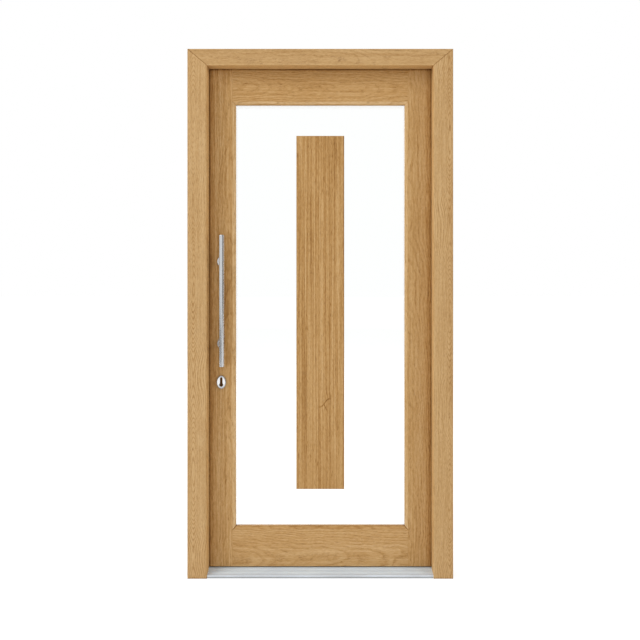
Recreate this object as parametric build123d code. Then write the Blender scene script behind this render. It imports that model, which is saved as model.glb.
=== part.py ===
from build123d import *
import os

# A panelled oak front door in its frame: a glazed light with an upright board on the glass,
# a long pull bar outside, an oval knob inside and a three-point lock. It opens into the house.
# X runs to the right seen from outside, Y into the house and Z up. Sizes are in millimetres.
# The origin is on the floor, under the middle of the frame.

# Whole door set
FRAME_WIDTH = 1100
FRAME_HEIGHT = 2192
LEAF_THICKNESS = 68
LEAF_GAP = 4  # air beside and above the leaf
SEAL_GAP = 4  # space between the frame's stop and the leaf
FLOOR_GAP = 6  # air under the leaf
OVERRUN = 1  # how far a cut runs past the face that it opens
FIT = 0.1  # room between an insert and its hole
RUNNING_FIT = 0.05  # room all round a shaft that turns
SLIDE_FIT = 0.2  # room beside a bolt that slides
TOUCH = 0.3  # room between a soft lip and what it seals

# Frame members
JAMB_FACE = 81
HEAD_FACE = 68
STOP_DEPTH = 56  # the frame in front of the leaf
REBATE = 17  # the frame's step beside the leaf
FRONT_ARRIS = 3  # rounding along the opening's front edge
ARRIS = 2  # rounding along the other long edges
FRAME_DOWEL_RADIUS = 6
FRAME_DOWEL_LENGTH = 50
FRAME_DOWEL_MITRE_SHARE = 0.6
FRAME_DOWEL_DEPTH_SHARES = (0.22, 0.73)
FIXING_RADIUS = 4
FIXING_HEIGHTS = (190, 650, 1240, 1990)

# Frame seal
SEAL_STEM = 3.6
SEAL_GROOVE_DEPTH = 6
SEAL_BULB = 8

# Threshold
THRESHOLD_HEIGHT = 21
NOSE_HEIGHT = 13
NOSE_SETBACK = 3
NOSE_ARRIS = 2.5
THRESHOLD_WALL = 3
DRIP_HEIGHT = 4  # underside of the groove along the nose
DRIP_WIDTH = 1.6
DRIP_DEPTH = 2
RIB_GROOVE_COUNT = 5
RIB_GROOVE_WIDTH = 3
RIB_GROOVE_DEPTH = 1.2
OUTER_PROFILE_DEPTH = 71
CORE_DEPTH = 30

# Leaf members
STILE_WIDTH = 125
TOP_RAIL_HEIGHT = 163
BOTTOM_RAIL_HEIGHT = 169.5
CHAMFER_WIDTH = 13
CHAMFER_DEPTH = 6
LEAF_ARRIS = 2  # rounding along the leaf's long outside edges
JOINT_LINE = 0.6  # depth of the fine groove along a joint that shows
LIGHT_LIP = 20  # the wood in front of the glass
GLASS_COVER = 26  # how far the wood laps over the glass and its clearance
LEAF_DOWEL_RADIUS = 7
LEAF_DOWEL_LENGTH = 110
LEAF_DOWEL_SHARES = (0.25, 0.75)
SWEEP_GROOVE_WIDTH = 8
SWEEP_GROOVE_DEPTH = 10
SWEEP_END = 10  # wood left at each end of the groove
SWEEP_LIP = 4

# Glass unit and its beads
GLASS_CLEARANCE = 5
PANE_THICKNESS = 4
PANE_SPACE = 20
GLAZING_SEAL_THICKNESS = 2
GLAZING_SEAL_WIDTH = 9
SPACER_WIDTH = 7
SPACER_INSET = 3
BLOCK_LENGTH = 100
BLOCK_PLACE_SHARE = 0.7
BEAD_BACK = 13  # how far the beads stand back from the light's edge outside
BEAD_CHAMFER = 7
BEAD_CHAMFER_DEPTH = 14

# Boards on the glass
BOARD_WIDTH = 202
BOARD_BELOW = 155.5  # glass showing under the board
BOARD_ABOVE = 131  # glass showing over the board
OUTER_BOARD_THICKNESS = 20
INNER_BOARD_THICKNESS = 16
BOARD_ARRIS = 1.5
TAPE_THICKNESS = 1
TAPE_WIDTH = 18
TAPE_EDGE = 20  # from the board's edge to its tape

# Pull bar
PULL_RADIUS = 10.5
PULL_LENGTH = 545
PULL_RISE = 261.4  # from the follower up to the middle of the bar
PULL_REACH = 65  # from the leaf's face to the bar's axis
PULL_INSET = 62  # from the leaf's edge to the feet
PULL_LEAN = 12  # how far the bar stands nearer to the glass than its feet
PULL_SPACING = 345
PULL_FOOT_DROP = 9.3  # from the middle of the bar down to the middle between the feet
PULL_END_ARRIS = 1.5
POST_RADIUS = 9
FOOT_WIDTH = 29
FOOT_LENGTH = 40
FOOT_HEIGHT = 5
FOOT_ARRIS = 1.5
PULL_BOLT_RADIUS = 4
PULL_BOLT_REACH = 16  # bolt length inside the foot
PULL_BOLT_HEAD_RADIUS = 9
PULL_BOLT_HEAD_HEIGHT = 4
PULL_BOLT_ARRIS = 1.5

# Lock and its faceplate
BACKSET = 65
FOLLOWER_HEIGHT = 888
PLUG_DROP = 94  # from the follower down to the key's axis
UPPER_BOLT_RISE = 700
LOWER_BOLT_DROP = 560
FACEPLATE_WIDTH = 24
FACEPLATE_THICKNESS = 3
FACEPLATE_END = 90
CASE_THICKNESS = 16
CASE_WALL = 1.5
CASE_BEYOND = 27  # case behind the key's axis
CASE_BELOW = 45  # case under the key's axis
CASE_ABOVE = 30  # case over the latch's axis
SMALL_CASE_DEPTH = 50
SMALL_CASE_HEIGHT = 80
STRIKE_THICKNESS = 3
STRIKE_END = 40
POCKET_DEPTH = 24
POCKET_ROOM = 1

# Bolts
BOLT_THICKNESS = 12
BOLT_THROW = 20
LATCH_RISE = 30
LATCH_HEIGHT = 30
LATCH_THROW = 12
LATCH_BODY = 34
LATCH_FLAT = 2
LATCH_TAIL_HEIGHT = 8
LATCH_HOOK_DROP = 13
LATCH_HOOK_WIDTH = 6
LATCH_HOOK_ROOM = 3
DEAD_OVER_CYLINDER = 4
DEAD_HEIGHT = 34
DEAD_BODY = 42
DEAD_TAIL_HEIGHT = 10
DEAD_TAIL_LENGTH = 30
SMALL_BOLT_HEIGHT = 24
SMALL_BOLT_BODY = 38

# Follower, knob and rose
HUB_RADIUS = 10
HUB_ARM_REACH = 18
HUB_ARM_WIDTH = 6
HUB_ARM_THICKNESS = 10
SPINDLE_WIDTH = 8
SPINDLE_HOLE_RADIUS = 11
ROSE_RADIUS = 26
ROSE_HEIGHT = 8
ROSE_ARRIS = 2
NECK_RADIUS = 9.5
KNOB_WIDTH = 60
KNOB_HEIGHT = 36
KNOB_THICKNESS = 24
KNOB_REACH = 54  # from the leaf's face to the knob's far end
KNOB_ARRIS = 8

# Cylinder and escutcheons
BULB_RADIUS = 7.8
STEM_WIDTH = 10
PROFILE_HEIGHT = 39
PROFILE_ROOM = 0.25
PLUG_RADIUS = 6
CAM_RADIUS = 15
CAM_WIDTH = 8
CAM_THICKNESS = 9
CAM_SLOT = 11
CAM_ROOM = 0.5
KEYWAY_WIDTH = 2.4
KEYWAY_HEIGHT = 8.5
KEYWAY_DEPTH = 20
CYLINDER_RECESS = 3
ESCUTCHEON_WIDTH = 40
ESCUTCHEON_LENGTH = 56
ESCUTCHEON_HEIGHT = 9
ESCUTCHEON_DROP = 1.5  # the oval's centre under the middle of the profile
ESCUTCHEON_ARRIS = 3.5
ESCUTCHEON_RIM = 0.6

# Hinges
HINGE_MARGIN = 220  # from the leaf's top and bottom to the outer hinges
BARREL_RADIUS = 9
BARREL_ROOM = 0.5
WING_WIDTH = 36
WING_HEIGHT = 120
WING_THICKNESS = 4
KNUCKLE_LENGTH = 60
KNUCKLE_GAP = 0.5
HINGE_PIN_RADIUS = 5
PIN_HEAD_HEIGHT = 4
PIN_ARRIS = 1.5
KNUCKLE_FLOOR = 3  # closed end of the lowest knuckle
WING_SCREW_EDGE = 9
WING_SCREW_SHARES = (-0.38, -0.13, 0.13, 0.38)

# Screws
HINGE_SCREW_HEAD = 5
HINGE_SCREW_SHANK = 2.5
HINGE_SCREW_LENGTH = 45
PLATE_SCREW_HEAD = 4
PLATE_SCREW_SHANK = 2
PLATE_SCREW_LENGTH = 30
PLATE_SCREW_END = 12
SCREW_SLOT_WIDTH = 1
SCREW_SLOT_DEPTH = 1.2

# Planes and heights that follow from the sizes above
FRAME_DEPTH = STOP_DEPTH + SEAL_GAP + LEAF_THICKNESS
FRAME_X = FRAME_WIDTH / 2
OUTER_Y = -FRAME_DEPTH / 2
INNER_Y = FRAME_DEPTH / 2
STOP_X = FRAME_X - JAMB_FACE
STOP_Y = OUTER_Y + STOP_DEPTH
STOP_Z = FRAME_HEIGHT - HEAD_FACE
REBATE_X = STOP_X + REBATE
REBATE_Z = STOP_Z + REBATE
LEAF_X = REBATE_X - LEAF_GAP
LEAF_Y = STOP_Y + SEAL_GAP
LEAF_TOP = REBATE_Z - LEAF_GAP
LEAF_BOTTOM = THRESHOLD_HEIGHT + FLOOR_GAP
PROFILE_Y = OUTER_Y + NOSE_SETBACK
CORE_Y = PROFILE_Y + OUTER_PROFILE_DEPTH
INNER_PROFILE_Y = CORE_Y + CORE_DEPTH
LIGHT_X = LEAF_X - STILE_WIDTH
LIGHT_TOP = LEAF_TOP - TOP_RAIL_HEIGHT
LIGHT_BOTTOM = LEAF_BOTTOM + BOTTOM_RAIL_HEIGHT
SHOULDER_X = LIGHT_X + CHAMFER_WIDTH
SHOULDER_TOP = LIGHT_TOP + CHAMFER_WIDTH
SHOULDER_BOTTOM = LIGHT_BOTTOM - CHAMFER_WIDTH
COVER_X = LIGHT_X + GLASS_COVER
COVER_TOP = LIGHT_TOP + GLASS_COVER
COVER_BOTTOM = LIGHT_BOTTOM - GLASS_COVER
GLASS_X = COVER_X - GLASS_CLEARANCE
GLASS_TOP = COVER_TOP - GLASS_CLEARANCE
GLASS_BOTTOM = COVER_BOTTOM + GLASS_CLEARANCE
LIP_Y = LEAF_Y + LIGHT_LIP
OUTER_PANE_Y = LIP_Y + GLAZING_SEAL_THICKNESS
SPACE_Y = OUTER_PANE_Y + PANE_THICKNESS
INNER_PANE_Y = SPACE_Y + PANE_SPACE
INNER_SEAL_Y = INNER_PANE_Y + PANE_THICKNESS
BEAD_Y = INNER_SEAL_Y + GLAZING_SEAL_THICKNESS
BOARD_BOTTOM = LIGHT_BOTTOM + BOARD_BELOW
BOARD_TOP = LIGHT_TOP - BOARD_ABOVE
LOCK_X = -LEAF_X + BACKSET
LOCK_Y = (LEAF_Y + INNER_Y) / 2
PLUG_HEIGHT = FOLLOWER_HEIGHT - PLUG_DROP
LATCH_AXIS = FOLLOWER_HEIGHT + LATCH_RISE
PROFILE_BOTTOM = PLUG_HEIGHT - BULB_RADIUS
PROFILE_TOP = PROFILE_BOTTOM + PROFILE_HEIGHT
DEAD_AXIS = PROFILE_TOP + DEAD_OVER_CYLINDER + DEAD_HEIGHT / 2
UPPER_AXIS = FOLLOWER_HEIGHT + UPPER_BOLT_RISE
LOWER_AXIS = FOLLOWER_HEIGHT - LOWER_BOLT_DROP
FACEPLATE_BOTTOM = LOWER_AXIS - FACEPLATE_END
FACEPLATE_TOP = UPPER_AXIS + FACEPLATE_END
CASE_FRONT = -LEAF_X + FACEPLATE_THICKNESS
CASE_BACK = LOCK_X + CASE_BEYOND
CASE_BOTTOM = PLUG_HEIGHT - CASE_BELOW
CASE_TOP = LATCH_AXIS + CASE_ABOVE
CYLINDER_OUTER_Y = LEAF_Y - ESCUTCHEON_HEIGHT + CYLINDER_RECESS
CYLINDER_INNER_Y = INNER_Y + ESCUTCHEON_HEIGHT - CYLINDER_RECESS
PULL_FOOT_X = -LEAF_X + PULL_INSET
PULL_X = PULL_FOOT_X + PULL_LEAN
PULL_Y = LEAF_Y - PULL_REACH
PULL_HEIGHT = FOLLOWER_HEIGHT + PULL_RISE
PULL_FOOT_MIDDLE = PULL_HEIGHT - PULL_FOOT_DROP
PULL_FOOT_HEIGHTS = (PULL_FOOT_MIDDLE - PULL_SPACING / 2, PULL_FOOT_MIDDLE + PULL_SPACING / 2)
HINGE_X = (LEAF_X + REBATE_X) / 2
HINGE_Y = INNER_Y + BARREL_RADIUS + BARREL_ROOM
HINGE_HEIGHTS = {
    "bottom": LEAF_BOTTOM + HINGE_MARGIN,
    "middle": (LEAF_BOTTOM + LEAF_TOP) / 2,
    "top": LEAF_TOP - HINGE_MARGIN,
}

# What passes through each faceplate and strike opening, as heights from bottom to top
LATCH_SPAN = (LATCH_AXIS - LATCH_HEIGHT / 2, LATCH_AXIS + LATCH_HEIGHT / 2)
DEAD_SPAN = (DEAD_AXIS - DEAD_HEIGHT / 2, DEAD_AXIS + DEAD_HEIGHT / 2)
UPPER_SPAN = (UPPER_AXIS - SMALL_BOLT_HEIGHT / 2, UPPER_AXIS + SMALL_BOLT_HEIGHT / 2)
LOWER_SPAN = (LOWER_AXIS - SMALL_BOLT_HEIGHT / 2, LOWER_AXIS + SMALL_BOLT_HEIGHT / 2)
STRIKE_SPANS = {"main": (DEAD_SPAN, LATCH_SPAN), "upper": (UPPER_SPAN,), "lower": (LOWER_SPAN,)}

SKETCH_PLANES = {"x": Plane.YZ, "y": Plane.XZ, "z": Plane.XY}
DIRECTIONS = {"x": Vector(1, 0, 0), "y": Vector(0, 1, 0), "z": Vector(0, 0, 1)}

# Turns of a screw that points down, so that it points out of the house, into the stile or the jamb
OUTWARDS = Rot(-90, 0, 0)
INTO_STILE = Rot(0, -90, 0)
INTO_JAMB = Rot(0, 90, 0)


def outline(*points):
    return make_face(Polyline(*points, close=True))


def run(axis, sketch, start, end):
    """Runs a sketch that lies across an axis from start to end along that axis."""
    placed = Pos(DIRECTIONS[axis] * start) * (SKETCH_PLANES[axis] * sketch)
    return extrude(placed, amount=end - start, dir=DIRECTIONS[axis])


def block(low, high):
    size = [top - bottom for bottom, top in zip(low, high)]
    return Pos(*low) * Box(*size, align=(Align.MIN, Align.MIN, Align.MIN))


def rod(axis, centre, start, end, radius):
    return run(axis, Pos(*centre) * Circle(radius), start, end)


def ring(inset, wall, near, far):
    """A rectangular ring inset from the edge of the glass, wall wide, from near to far in depth."""
    half = GLASS_X - inset
    bottom = GLASS_BOTTOM + inset
    top = GLASS_TOP - inset
    whole = block((-half, near, bottom), (half, far, top))
    hole = block(
        (wall - half, near - OVERRUN, bottom + wall), (half - wall, far + OVERRUN, top - wall)
    )
    return whole - hole


def eased(sketch, point, radius):
    corner = sketch.vertices().sort_by_distance((*point, 0))[0]
    return fillet(corner, radius)


def rounded(face, radius):
    """Rounds the outside edges of one face and gives back its whole solid."""
    return fillet(face.outer_wire().edges(), radius)


def mirrored(solid):
    return mirror(solid, about=Plane.YZ)


def without(solid, cuts):
    for cut in cuts:
        solid -= cut
    return solid


def group(pieces):
    return Compound([solid for piece in pieces for solid in piece.solids()])


def screw(head_radius, shank_radius, length, room):
    """A countersunk screw that points down, with the top of its head at the origin."""
    head_height = head_radius - shank_radius
    cone = Cone(shank_radius + room, head_radius + room, head_height)
    shank = rod("z", (0, 0), -length - room, -head_height / 2, shank_radius + room)
    body = Pos(0, 0, -head_height / 2) * cone + shank
    if room == 0:
        slot = Box(head_radius, SCREW_SLOT_WIDTH, 2 * SCREW_SLOT_DEPTH)
        body = body - slot - Rot(0, 0, 90) * slot
    return body


def hinge_screws(side, height, room=0):
    """The four screws of one hinge wing, staggered in two columns."""
    near, far = wing_edges(side)
    inset = WING_SCREW_EDGE if far > near else -WING_SCREW_EDGE
    columns = (near + inset, far - inset)
    template = screw(HINGE_SCREW_HEAD, HINGE_SCREW_SHANK, HINGE_SCREW_LENGTH, room)
    screws = []
    for number, share in enumerate(WING_SCREW_SHARES):
        place = Pos(columns[number % 2], INNER_Y + WING_THICKNESS, height + WING_HEIGHT * share)
        screws.append(place * OUTWARDS * template)
    return screws


def all_hinge_screws(side, room=0):
    return [one for height in HINGE_HEIGHTS.values() for one in hinge_screws(side, height, room)]


def plate_screws(x, heights, turn, room=0):
    template = screw(PLATE_SCREW_HEAD, PLATE_SCREW_SHANK, PLATE_SCREW_LENGTH, room)
    return [Pos(x, LOCK_Y, height) * turn * template for height in heights]


# Frame: two jambs and a head, rebated for the leaf, mitred and dowelled at the top corners


def frame_section(stop, outside, turned):
    """Section of a frame member from its stop to its outside face, with the groove for its seal."""
    rebate = stop + REBATE
    groove = stop + (REBATE - LEAF_GAP) / 2
    groove_bottom = STOP_Y - SEAL_GROOVE_DEPTH
    corners = [(stop, OUTER_Y), (outside, OUTER_Y), (outside, INNER_Y), (rebate, INNER_Y)]
    inner = [
        (rebate, STOP_Y),
        (groove + SEAL_STEM / 2, STOP_Y),
        (groove + SEAL_STEM / 2, groove_bottom),
        (groove - SEAL_STEM / 2, groove_bottom),
        (groove - SEAL_STEM / 2, STOP_Y),
        (stop, STOP_Y),
    ]
    points = corners + inner
    if turned:
        points = [(depth, across) for across, depth in points]
    section = outline(*points)
    for point, radius in zip(points, (FRONT_ARRIS, ARRIS, ARRIS, ARRIS)):
        section = eased(section, point, radius)
    return section


def seal_section(stop, turned):
    """A stem pressed into the groove, with a tapered bulb that meets the leaf's face."""
    middle = stop + (REBATE - LEAF_GAP) / 2
    stem = SEAL_STEM / 2 - FIT
    points = [
        (middle - stem, STOP_Y - SEAL_GROOVE_DEPTH + FIT),
        (middle + stem, STOP_Y - SEAL_GROOVE_DEPTH + FIT),
        (middle + stem, STOP_Y),
        (middle + SEAL_BULB / 2, STOP_Y),
        (middle + stem, LEAF_Y - TOUCH),
        (middle - stem, LEAF_Y - TOUCH),
        (middle - SEAL_BULB / 2, STOP_Y),
        (middle - stem, STOP_Y),
    ]
    if turned:
        points = [(depth, across) for across, depth in points]
    return outline(*points)


def mitre_wedge(side):
    """Everything above or below the mitre that runs out of the opening's top right corner."""
    start = (STOP_X - JAMB_FACE, STOP_Z - HEAD_FACE)
    end = (FRAME_X + JAMB_FACE, FRAME_HEIGHT + HEAD_FACE)
    third = (start[0], end[1]) if side == "above" else (end[0], start[1])
    return run("y", outline(start, end, third), OUTER_Y - OVERRUN, INNER_Y + OVERRUN)


def groove_section():
    """A fine V, its point towards +X, whose open side runs past the face at X = 0."""
    side = JOINT_LINE + OVERRUN
    return outline((JOINT_LINE, 0), (-OVERRUN, -side), (-OVERRUN, side))


def mitre_line():
    """A fine groove along the right-hand mitre, in the frame's outer face."""
    along = Vector(JAMB_FACE, 0, HEAD_FACE)
    start = Vector(STOP_X, OUTER_Y, STOP_Z) - along
    across = Plane(origin=start, x_dir=DIRECTIONS["y"], z_dir=along)
    return extrude(across * groove_section(), amount=along.length * 3)


def frame_dowels(room=0):
    """Dowels that cross both mitres, lying along the head."""
    height = STOP_Z + HEAD_FACE * FRAME_DOWEL_MITRE_SHARE
    middle = STOP_X + JAMB_FACE * FRAME_DOWEL_MITRE_SHARE
    half = FRAME_DOWEL_LENGTH / 2 + room
    dowels = []
    for share in FRAME_DOWEL_DEPTH_SHARES:
        place = (OUTER_Y + FRAME_DEPTH * share, height)
        dowel = rod("x", place, middle - half, middle + half, FRAME_DOWEL_RADIUS + room)
        dowels += [dowel, mirrored(dowel)]
    return dowels


def plain_jamb():
    """The right-hand jamb before its hinges or its strikes are let in."""
    jamb = run("z", frame_section(STOP_X, FRAME_X, False), 0, FRAME_HEIGHT)
    jamb = jamb - mitre_wedge("above")
    fixings = [
        rod("x", (LOCK_Y, height), STOP_X, FRAME_X + OVERRUN, FIXING_RADIUS)
        for height in FIXING_HEIGHTS
    ]
    return without(jamb, fixings + [mitre_line()] + frame_dowels(FIT))


def hinge_jamb():
    return without(plain_jamb(), all_hinge_screws("frame", FIT))


def lock_jamb():
    cuts = strike_screws(FIT)
    for name, spans in STRIKE_SPANS.items():
        cuts.append(strike_blank(name, OVERRUN))
        cuts += [strike_opening(span, POCKET_DEPTH) for span in spans]
    return without(mirrored(plain_jamb()), cuts)


def frame_head():
    head = run("x", frame_section(STOP_Z, FRAME_HEIGHT, True), -FRAME_X, FRAME_X)
    wedge = mitre_wedge("below")
    line = mitre_line()
    return without(head, [wedge, mirrored(wedge), line, mirrored(line)] + frame_dowels(FIT))


def frame_seal():
    """One seal round the jambs and the head, mitred and welded in the corners."""
    side = run("z", seal_section(STOP_X, False), THRESHOLD_HEIGHT, FRAME_HEIGHT)
    side = side - mitre_wedge("above")
    top = run("x", seal_section(STOP_Z, True), -FRAME_X, FRAME_X)
    wedge = mitre_wedge("below")
    return without(top, [wedge, mirrored(wedge)]) + side + mirrored(side)


# Strike plates let into the lock jamb


def strike_ends(name):
    spans = STRIKE_SPANS[name]
    return spans[0][0] - STRIKE_END, spans[-1][1] + STRIKE_END


def strike_blank(name, past=0):
    low, high = strike_ends(name)
    half = FACEPLATE_WIDTH / 2
    return block(
        (-REBATE_X - STRIKE_THICKNESS, LOCK_Y - half, low), (past - REBATE_X, LOCK_Y + half, high)
    )


def strike_opening(span, depth):
    half = BOLT_THICKNESS / 2 + POCKET_ROOM
    return block(
        (-REBATE_X - STRIKE_THICKNESS - depth, LOCK_Y - half, span[0] - POCKET_ROOM),
        (-REBATE_X + OVERRUN, LOCK_Y + half, span[1] + POCKET_ROOM),
    )


def strike_screws(room=0):
    screws = []
    for name in STRIKE_SPANS:
        low, high = strike_ends(name)
        heights = (low + PLATE_SCREW_END, high - PLATE_SCREW_END)
        screws += plate_screws(-REBATE_X, heights, INTO_JAMB, room)
    return screws


def strike(name):
    openings = [strike_opening(span, POCKET_DEPTH) for span in STRIKE_SPANS[name]]
    return without(strike_blank(name), openings + strike_screws(FIT))


# Threshold: a ribbed outer profile, an insulating core and an inner profile


def threshold_outer():
    section = outline(
        (PROFILE_Y, 0),
        (CORE_Y, 0),
        (CORE_Y, THRESHOLD_HEIGHT),
        (LEAF_Y, THRESHOLD_HEIGHT),
        (PROFILE_Y, NOSE_HEIGHT),
    )
    section = eased(section, (PROFILE_Y, NOSE_HEIGHT), NOSE_ARRIS)
    chamber_front = PROFILE_Y + DRIP_DEPTH + THRESHOLD_WALL
    chamber = outline(
        (chamber_front, THRESHOLD_WALL),
        (CORE_Y - THRESHOLD_WALL, THRESHOLD_WALL),
        (CORE_Y - THRESHOLD_WALL, THRESHOLD_HEIGHT - THRESHOLD_WALL),
        (LEAF_Y, THRESHOLD_HEIGHT - THRESHOLD_WALL),
        (chamber_front, NOSE_HEIGHT - THRESHOLD_WALL),
    )
    profile = run("x", section - chamber, -REBATE_X, REBATE_X)
    grooves = [
        block(
            (-FRAME_X, PROFILE_Y - OVERRUN, DRIP_HEIGHT),
            (FRAME_X, PROFILE_Y + DRIP_DEPTH, DRIP_HEIGHT + DRIP_WIDTH),
        )
    ]
    slope_y = PROFILE_Y + NOSE_ARRIS
    pitch = (LEAF_Y - slope_y) / RIB_GROOVE_COUNT
    rise = (THRESHOLD_HEIGHT - NOSE_HEIGHT) / (LEAF_Y - PROFILE_Y)
    for number in range(RIB_GROOVE_COUNT):
        near = slope_y + pitch * number
        floor = NOSE_HEIGHT + rise * (near - PROFILE_Y) - RIB_GROOVE_DEPTH
        top = THRESHOLD_HEIGHT + OVERRUN
        grooves.append(block((-FRAME_X, near, floor), (FRAME_X, near + RIB_GROOVE_WIDTH, top)))
    notch = block(
        (STOP_X, PROFILE_Y - OVERRUN, -OVERRUN),
        (REBATE_X + OVERRUN, STOP_Y, THRESHOLD_HEIGHT + OVERRUN),
    )
    return without(profile, grooves + [notch, mirrored(notch)])


def threshold_core():
    return block((-REBATE_X, CORE_Y, 0), (REBATE_X, INNER_PROFILE_Y, THRESHOLD_HEIGHT))


def threshold_inner():
    profile = block((-REBATE_X, INNER_PROFILE_Y, 0), (REBATE_X, INNER_Y, THRESHOLD_HEIGHT))
    top = THRESHOLD_HEIGHT - THRESHOLD_WALL
    chamber = block(
        (-REBATE_X - OVERRUN, INNER_PROFILE_Y + THRESHOLD_WALL, THRESHOLD_WALL),
        (REBATE_X + OVERRUN, INNER_Y - THRESHOLD_WALL, top),
    )
    return profile - chamber


# Leaf: stiles that run the full height, rails between them, all chamfered round the light


def leaf_cuts():
    """What is cut from every member of the leaf: the step for the glass, the groove and the dowels."""
    glass_step = block((-COVER_X, LIP_Y, COVER_BOTTOM), (COVER_X, INNER_Y + OVERRUN, COVER_TOP))
    half = SWEEP_GROOVE_WIDTH / 2
    groove = block(
        (SWEEP_END - LEAF_X, LOCK_Y - half, LEAF_BOTTOM - OVERRUN),
        (LEAF_X - SWEEP_END, LOCK_Y + half, LEAF_BOTTOM + SWEEP_GROOVE_DEPTH),
    )
    return [glass_step, groove] + joint_lines() + leaf_dowels(FIT)


def joint_lines():
    """Fine grooves where the rails meet the stiles, in both faces of the leaf."""
    lines = []
    for turn, face in ((90, LEAF_Y), (-90, INNER_Y)):
        section = Pos(SHOULDER_X, face) * (Rot(0, 0, turn) * groove_section())
        for bottom, top in ((LEAF_BOTTOM, SHOULDER_BOTTOM), (SHOULDER_TOP, LEAF_TOP)):
            line = run("z", section, bottom, top)
            lines += [line, mirrored(line)]
    return lines


def leaf_dowels(room=0):
    """Dowels that cross the shoulders between the rails and the stiles."""
    half = LEAF_DOWEL_LENGTH / 2 + room
    dowels = []
    for bottom, top in ((LEAF_BOTTOM, SHOULDER_BOTTOM), (SHOULDER_TOP, LEAF_TOP)):
        for share in LEAF_DOWEL_SHARES:
            place = (LOCK_Y, bottom + (top - bottom) * share)
            dowel = rod("x", place, SHOULDER_X - half, SHOULDER_X + half, LEAF_DOWEL_RADIUS + room)
            dowels += [dowel, mirrored(dowel)]
    return dowels


def plain_stile():
    """The right-hand stile before its hinges or its lock are let in."""
    face = outline(
        (SHOULDER_X, LEAF_BOTTOM),
        (LEAF_X, LEAF_BOTTOM),
        (LEAF_X, LEAF_TOP),
        (SHOULDER_X, LEAF_TOP),
        (SHOULDER_X, SHOULDER_TOP),
        (LIGHT_X, LIGHT_TOP),
        (LIGHT_X, LIGHT_BOTTOM),
        (SHOULDER_X, SHOULDER_BOTTOM),
    )
    chamfer = outline(
        (SHOULDER_X, LEAF_Y),
        (LIGHT_X, LEAF_Y + CHAMFER_DEPTH),
        (LIGHT_X - OVERRUN, LEAF_Y - OVERRUN),
    )
    bevel = run("z", chamfer, LEAF_BOTTOM, LEAF_TOP)
    stile = run("y", face, LEAF_Y, INNER_Y)
    stile = fillet(stile.edges().filter_by(Axis.Z).group_by(Axis.X)[-1], LEAF_ARRIS)
    return without(stile, [bevel] + leaf_cuts())


def rail(light_edge, shoulder, leaf_edge):
    """A rail between the stiles, from the edge of the light to the leaf's top or bottom edge."""
    face = outline(
        (-SHOULDER_X, shoulder),
        (-LIGHT_X, light_edge),
        (LIGHT_X, light_edge),
        (SHOULDER_X, shoulder),
        (SHOULDER_X, leaf_edge),
        (-SHOULDER_X, leaf_edge),
    )
    towards_light = (light_edge - shoulder) / CHAMFER_WIDTH
    chamfer = outline(
        (LEAF_Y, shoulder),
        (LEAF_Y + CHAMFER_DEPTH, light_edge),
        (LEAF_Y - OVERRUN, light_edge + towards_light * OVERRUN),
    )
    bevel = run("x", chamfer, -SHOULDER_X, SHOULDER_X)
    return without(run("y", face, LEAF_Y, INNER_Y), [bevel] + leaf_cuts())


def hinge_stile():
    return without(plain_stile(), all_hinge_screws("leaf", FIT))


def lock_stile():
    through = (LEAF_Y - OVERRUN, INNER_Y + OVERRUN)
    cuts = [
        faceplate_blank(OVERRUN),
        case_blank(CASE_BACK, CASE_BOTTOM, CASE_TOP, FIT),
        run("y", cylinder_profile(PROFILE_ROOM), *through),
        rod("y", (LOCK_X, FOLLOWER_HEIGHT), LOCK_Y, INNER_Y + OVERRUN, SPINDLE_HOLE_RADIUS),
    ]
    cuts += [small_case_blank(axis, FIT) for axis in (UPPER_AXIS, LOWER_AXIS)]
    cuts += [
        rod("y", (PULL_FOOT_X, height), *through, PULL_BOLT_RADIUS + FIT)
        for height in PULL_FOOT_HEIGHTS
    ]
    return without(mirrored(plain_stile()), cuts + faceplate_screws(FIT))


def bottom_seal():
    """A lip under the leaf that brushes the threshold."""
    stem = SWEEP_GROOVE_WIDTH / 2 - FIT
    lip = SWEEP_LIP / 2
    top = LEAF_BOTTOM + SWEEP_GROOVE_DEPTH - FIT
    tip = THRESHOLD_HEIGHT + TOUCH
    section = outline(
        (LOCK_Y - stem, top),
        (LOCK_Y + stem, top),
        (LOCK_Y + stem, LEAF_BOTTOM),
        (LOCK_Y + lip, LEAF_BOTTOM),
        (LOCK_Y + lip, tip),
        (LOCK_Y - lip, tip),
        (LOCK_Y - lip, LEAF_BOTTOM),
        (LOCK_Y - stem, LEAF_BOTTOM),
    )
    return run("x", section, SWEEP_END - LEAF_X + FIT, LEAF_X - SWEEP_END - FIT)


# Glass unit, its seals and setting blocks, and the four beads that hold it


def pane(near):
    return block((-GLASS_X, near, GLASS_BOTTOM), (GLASS_X, near + PANE_THICKNESS, GLASS_TOP))


def glazing_seals():
    return [
        ring(0, GLAZING_SEAL_WIDTH, near, near + GLAZING_SEAL_THICKNESS)
        for near in (LIP_Y, INNER_SEAL_Y)
    ]


def setting_blocks():
    """Blocks between the edge of the glass unit and the wood, two on each side."""
    half = BLOCK_LENGTH / 2
    middle = (LIGHT_BOTTOM + LIGHT_TOP) / 2
    reach = (LIGHT_TOP - LIGHT_BOTTOM) / 2 * BLOCK_PLACE_SHARE
    blocks = []
    for bottom, top in ((COVER_BOTTOM, GLASS_BOTTOM), (GLASS_TOP, COVER_TOP)):
        x = LIGHT_X * BLOCK_PLACE_SHARE
        lying = block((x - half, OUTER_PANE_Y, bottom), (x + half, INNER_SEAL_Y, top))
        blocks += [lying, mirrored(lying)]
    for height in (middle - reach, middle + reach):
        upright = block(
            (GLASS_X, OUTER_PANE_Y, height - half), (COVER_X, INNER_SEAL_Y, height + half)
        )
        blocks += [upright, mirrored(upright)]
    return blocks


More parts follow.
